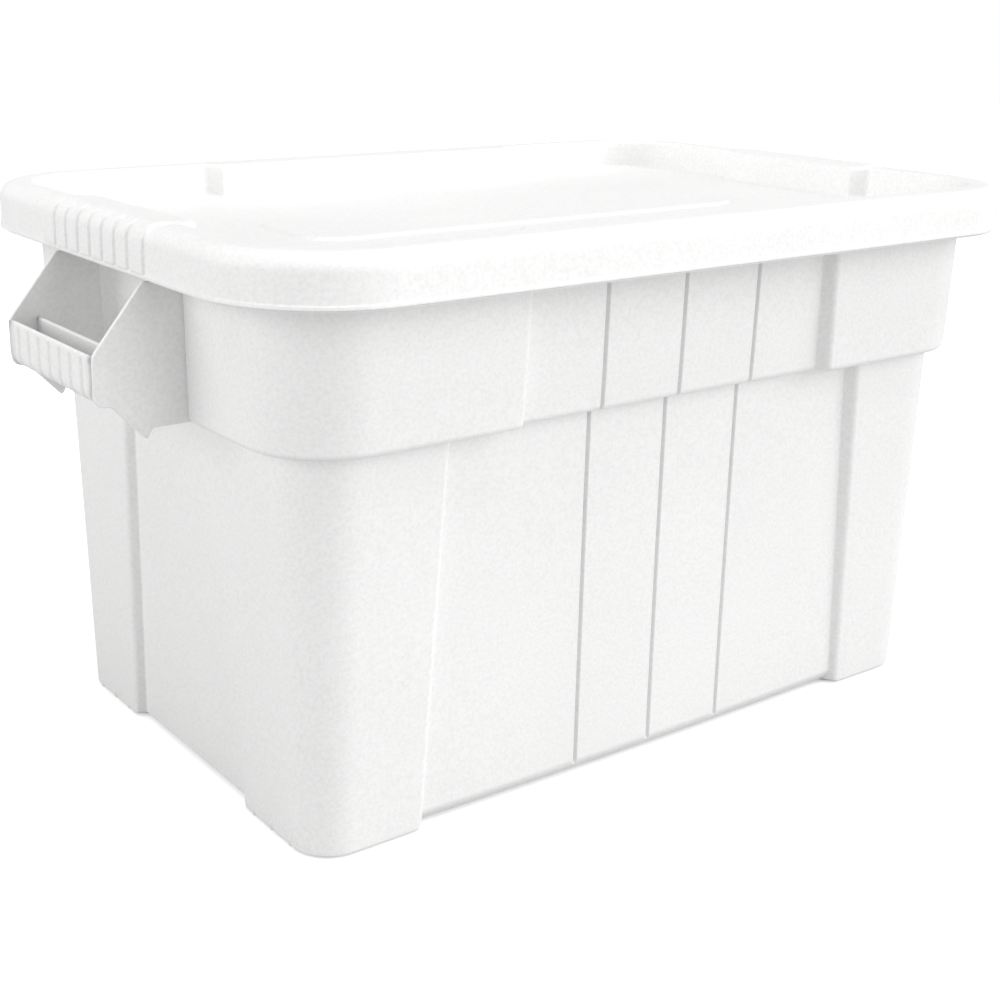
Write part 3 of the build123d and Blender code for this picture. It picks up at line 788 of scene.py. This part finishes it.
TOTE_PLASTIC = plastic("tote_polyethylene", (0.90, 0.90, 0.895), 0.0)
LID_PLASTIC = plastic("lid_polyethylene", (0.91, 0.91, 0.905), 3.7)


# ---- pieces ----------------------------------------------------------------
def tote_pieces():
    body = grid_object("body_shell", body_rings(), TOTE_PLASTIC)
    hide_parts("tote_body")
    pieces = [body]
    for name, side in (("handle_right", 1), ("handle_left", -1)):
        piece = handle("grip_" + name.split("_")[1], side)
        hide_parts(name)
        pieces.append(piece)
    pieces.append(skid_ribs())
    for piece in pieces:
        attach(piece, "tote")
    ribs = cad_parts["base_ribs"]
    ribs.data.materials.clear()
    ribs.data.materials.append(TOTE_PLASTIC)


def lid_pieces():
    lid = grid_object("lid_shell", lid_rings(), LID_PLASTIC)
    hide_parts("lid_panel")
    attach(lid, "lid")


# ---- studio ----------------------------------------------------------------
CAMERA_AT = Vector((-702.5, -904.3, 516.2)) * MM
CAMERA_AZIMUTH, CAMERA_ELEVATION, CAMERA_ROLL = -36.306, 16.622, 0.80
CAMERA_LENS, SENSOR = 56.69, 36.0
CAMERA_SHIFT = (0.0346, -0.0446)
FLOOR_HALF, FLOOR_TONE, FLOOR_GLOW, FLOOR_BOUNCE = 6.0, 0.93, 0.45, 0.55
AMBIENT = 0.55                            # backdrop's light on the object


def camera():
    data = bpy.data.cameras.new("camera")
    data.lens, data.sensor_width = CAMERA_LENS, SENSOR
    data.shift_x, data.shift_y = CAMERA_SHIFT
    data.clip_start, data.clip_end = 0.01, 50.0
    made = bpy.data.objects.new("camera", data)
    bpy.context.scene.collection.objects.link(made)
    azimuth, elevation, roll = (
        radians(v) for v in (CAMERA_AZIMUTH, CAMERA_ELEVATION, CAMERA_ROLL)
    )
    back = Vector((sin(azimuth) * cos(elevation), -cos(azimuth) * cos(elevation), sin(elevation)))
    right = (-back).cross(Vector((0, 0, 1))).normalized()
    up = right.cross(-back)
    rolled = (
        cos(roll) * right + sin(roll) * up,
        cos(roll) * up - sin(roll) * right,
        back,
    )
    made.matrix_world = Matrix.Translation(CAMERA_AT) @ Matrix(rolled).transposed().to_4x4()
    bpy.context.scene.camera = made


def soft_sun(name, azimuth, elevation, strength, spread):
    """Even light from a wide patch of the studio's ceiling or wall, angles in degrees."""
    data = bpy.data.lights.new(name, "SUN")
    data.energy, data.angle = strength, radians(spread)
    made = bpy.data.objects.new(name, data)
    bpy.context.scene.collection.objects.link(made)
    azimuth, elevation = radians(azimuth), radians(elevation)
    towards = Vector((sin(azimuth) * cos(elevation), -cos(azimuth) * cos(elevation), sin(elevation)))
    made.rotation_euler = towards.to_track_quat("Z", "Y").to_euler()


def floor():
    """Pale floor: near white to the camera, and dimmer in the light it returns."""
    half = FLOOR_HALF
    corners = [(-half, -half, 0), (half, -half, 0), (half, half, 0), (-half, half, 0)]
    mesh = bpy.data.meshes.new("floor")
    mesh.from_pydata(corners, [], [(0, 1, 2, 3)])
    material = bpy.data.materials.new("studio_floor")
    material.use_nodes = True
    nodes, links = material.node_tree.nodes, material.node_tree.links
    nodes.remove(nodes["Principled BSDF"])
    seen, lit = nodes.new("ShaderNodeBsdfDiffuse"), nodes.new("ShaderNodeBsdfDiffuse")
    glow = nodes.new("ShaderNodeEmission")
    seen.inputs["Color"].default_value = (FLOOR_TONE, FLOOR_TONE, FLOOR_TONE, 1)
    glow.inputs["Strength"].default_value = FLOOR_GLOW
    lit.inputs["Color"].default_value = (FLOOR_BOUNCE, FLOOR_BOUNCE, FLOOR_BOUNCE, 1)
    both, choice = nodes.new("ShaderNodeAddShader"), nodes.new("ShaderNodeMixShader")
    links.new(seen.outputs["BSDF"], both.inputs[0])
    links.new(glow.outputs["Emission"], both.inputs[1])
    links.new(nodes.new("ShaderNodeLightPath").outputs["Is Camera Ray"], choice.inputs["Fac"])
    links.new(lit.outputs["BSDF"], choice.inputs[1])
    links.new(both.outputs["Shader"], choice.inputs[2])
    links.new(choice.outputs["Shader"], nodes["Material Output"].inputs["Surface"])
    mesh.materials.append(material)
    made = bpy.data.objects.new("floor", mesh)
    bpy.context.scene.collection.objects.link(made)


def white_world():
    """White backdrop to the camera, softer light on the object."""
    world = bpy.data.worlds.new("studio")
    bpy.context.scene.world = world
    world.use_nodes = True
    nodes, links = world.node_tree.nodes, world.node_tree.links
    seen = nodes["Background"]
    seen.inputs["Color"].default_value = (1, 1, 1, 1)
    seen.inputs["Strength"].default_value = 1.0
    lit = nodes.new("ShaderNodeBackground")
    lit.inputs["Color"].default_value = (1, 1, 1, 1)
    lit.inputs["Strength"].default_value = AMBIENT
    choice = nodes.new("ShaderNodeMixShader")
    links.new(nodes.new("ShaderNodeLightPath").outputs["Is Camera Ray"], choice.inputs["Fac"])
    links.new(lit.outputs["Background"], choice.inputs[1])
    links.new(seen.outputs["Background"], choice.inputs[2])
    links.new(choice.outputs["Shader"], nodes["World Output"].inputs["Surface"])


def studio():
    bpy.context.scene.view_settings.view_transform = "Standard"
    white_world()
    soft_sun("key", 41.0, 9.0, 2.6, 70.0)
    soft_sun("left", -104.0, 6.0, 1.85, 60.0)
    soft_sun("top", 20.0, 78.0, 1.05, 30.0)
    floor()


tote_pieces()
lid_pieces()
studio()
camera()
bpy.context.view_layer.update()
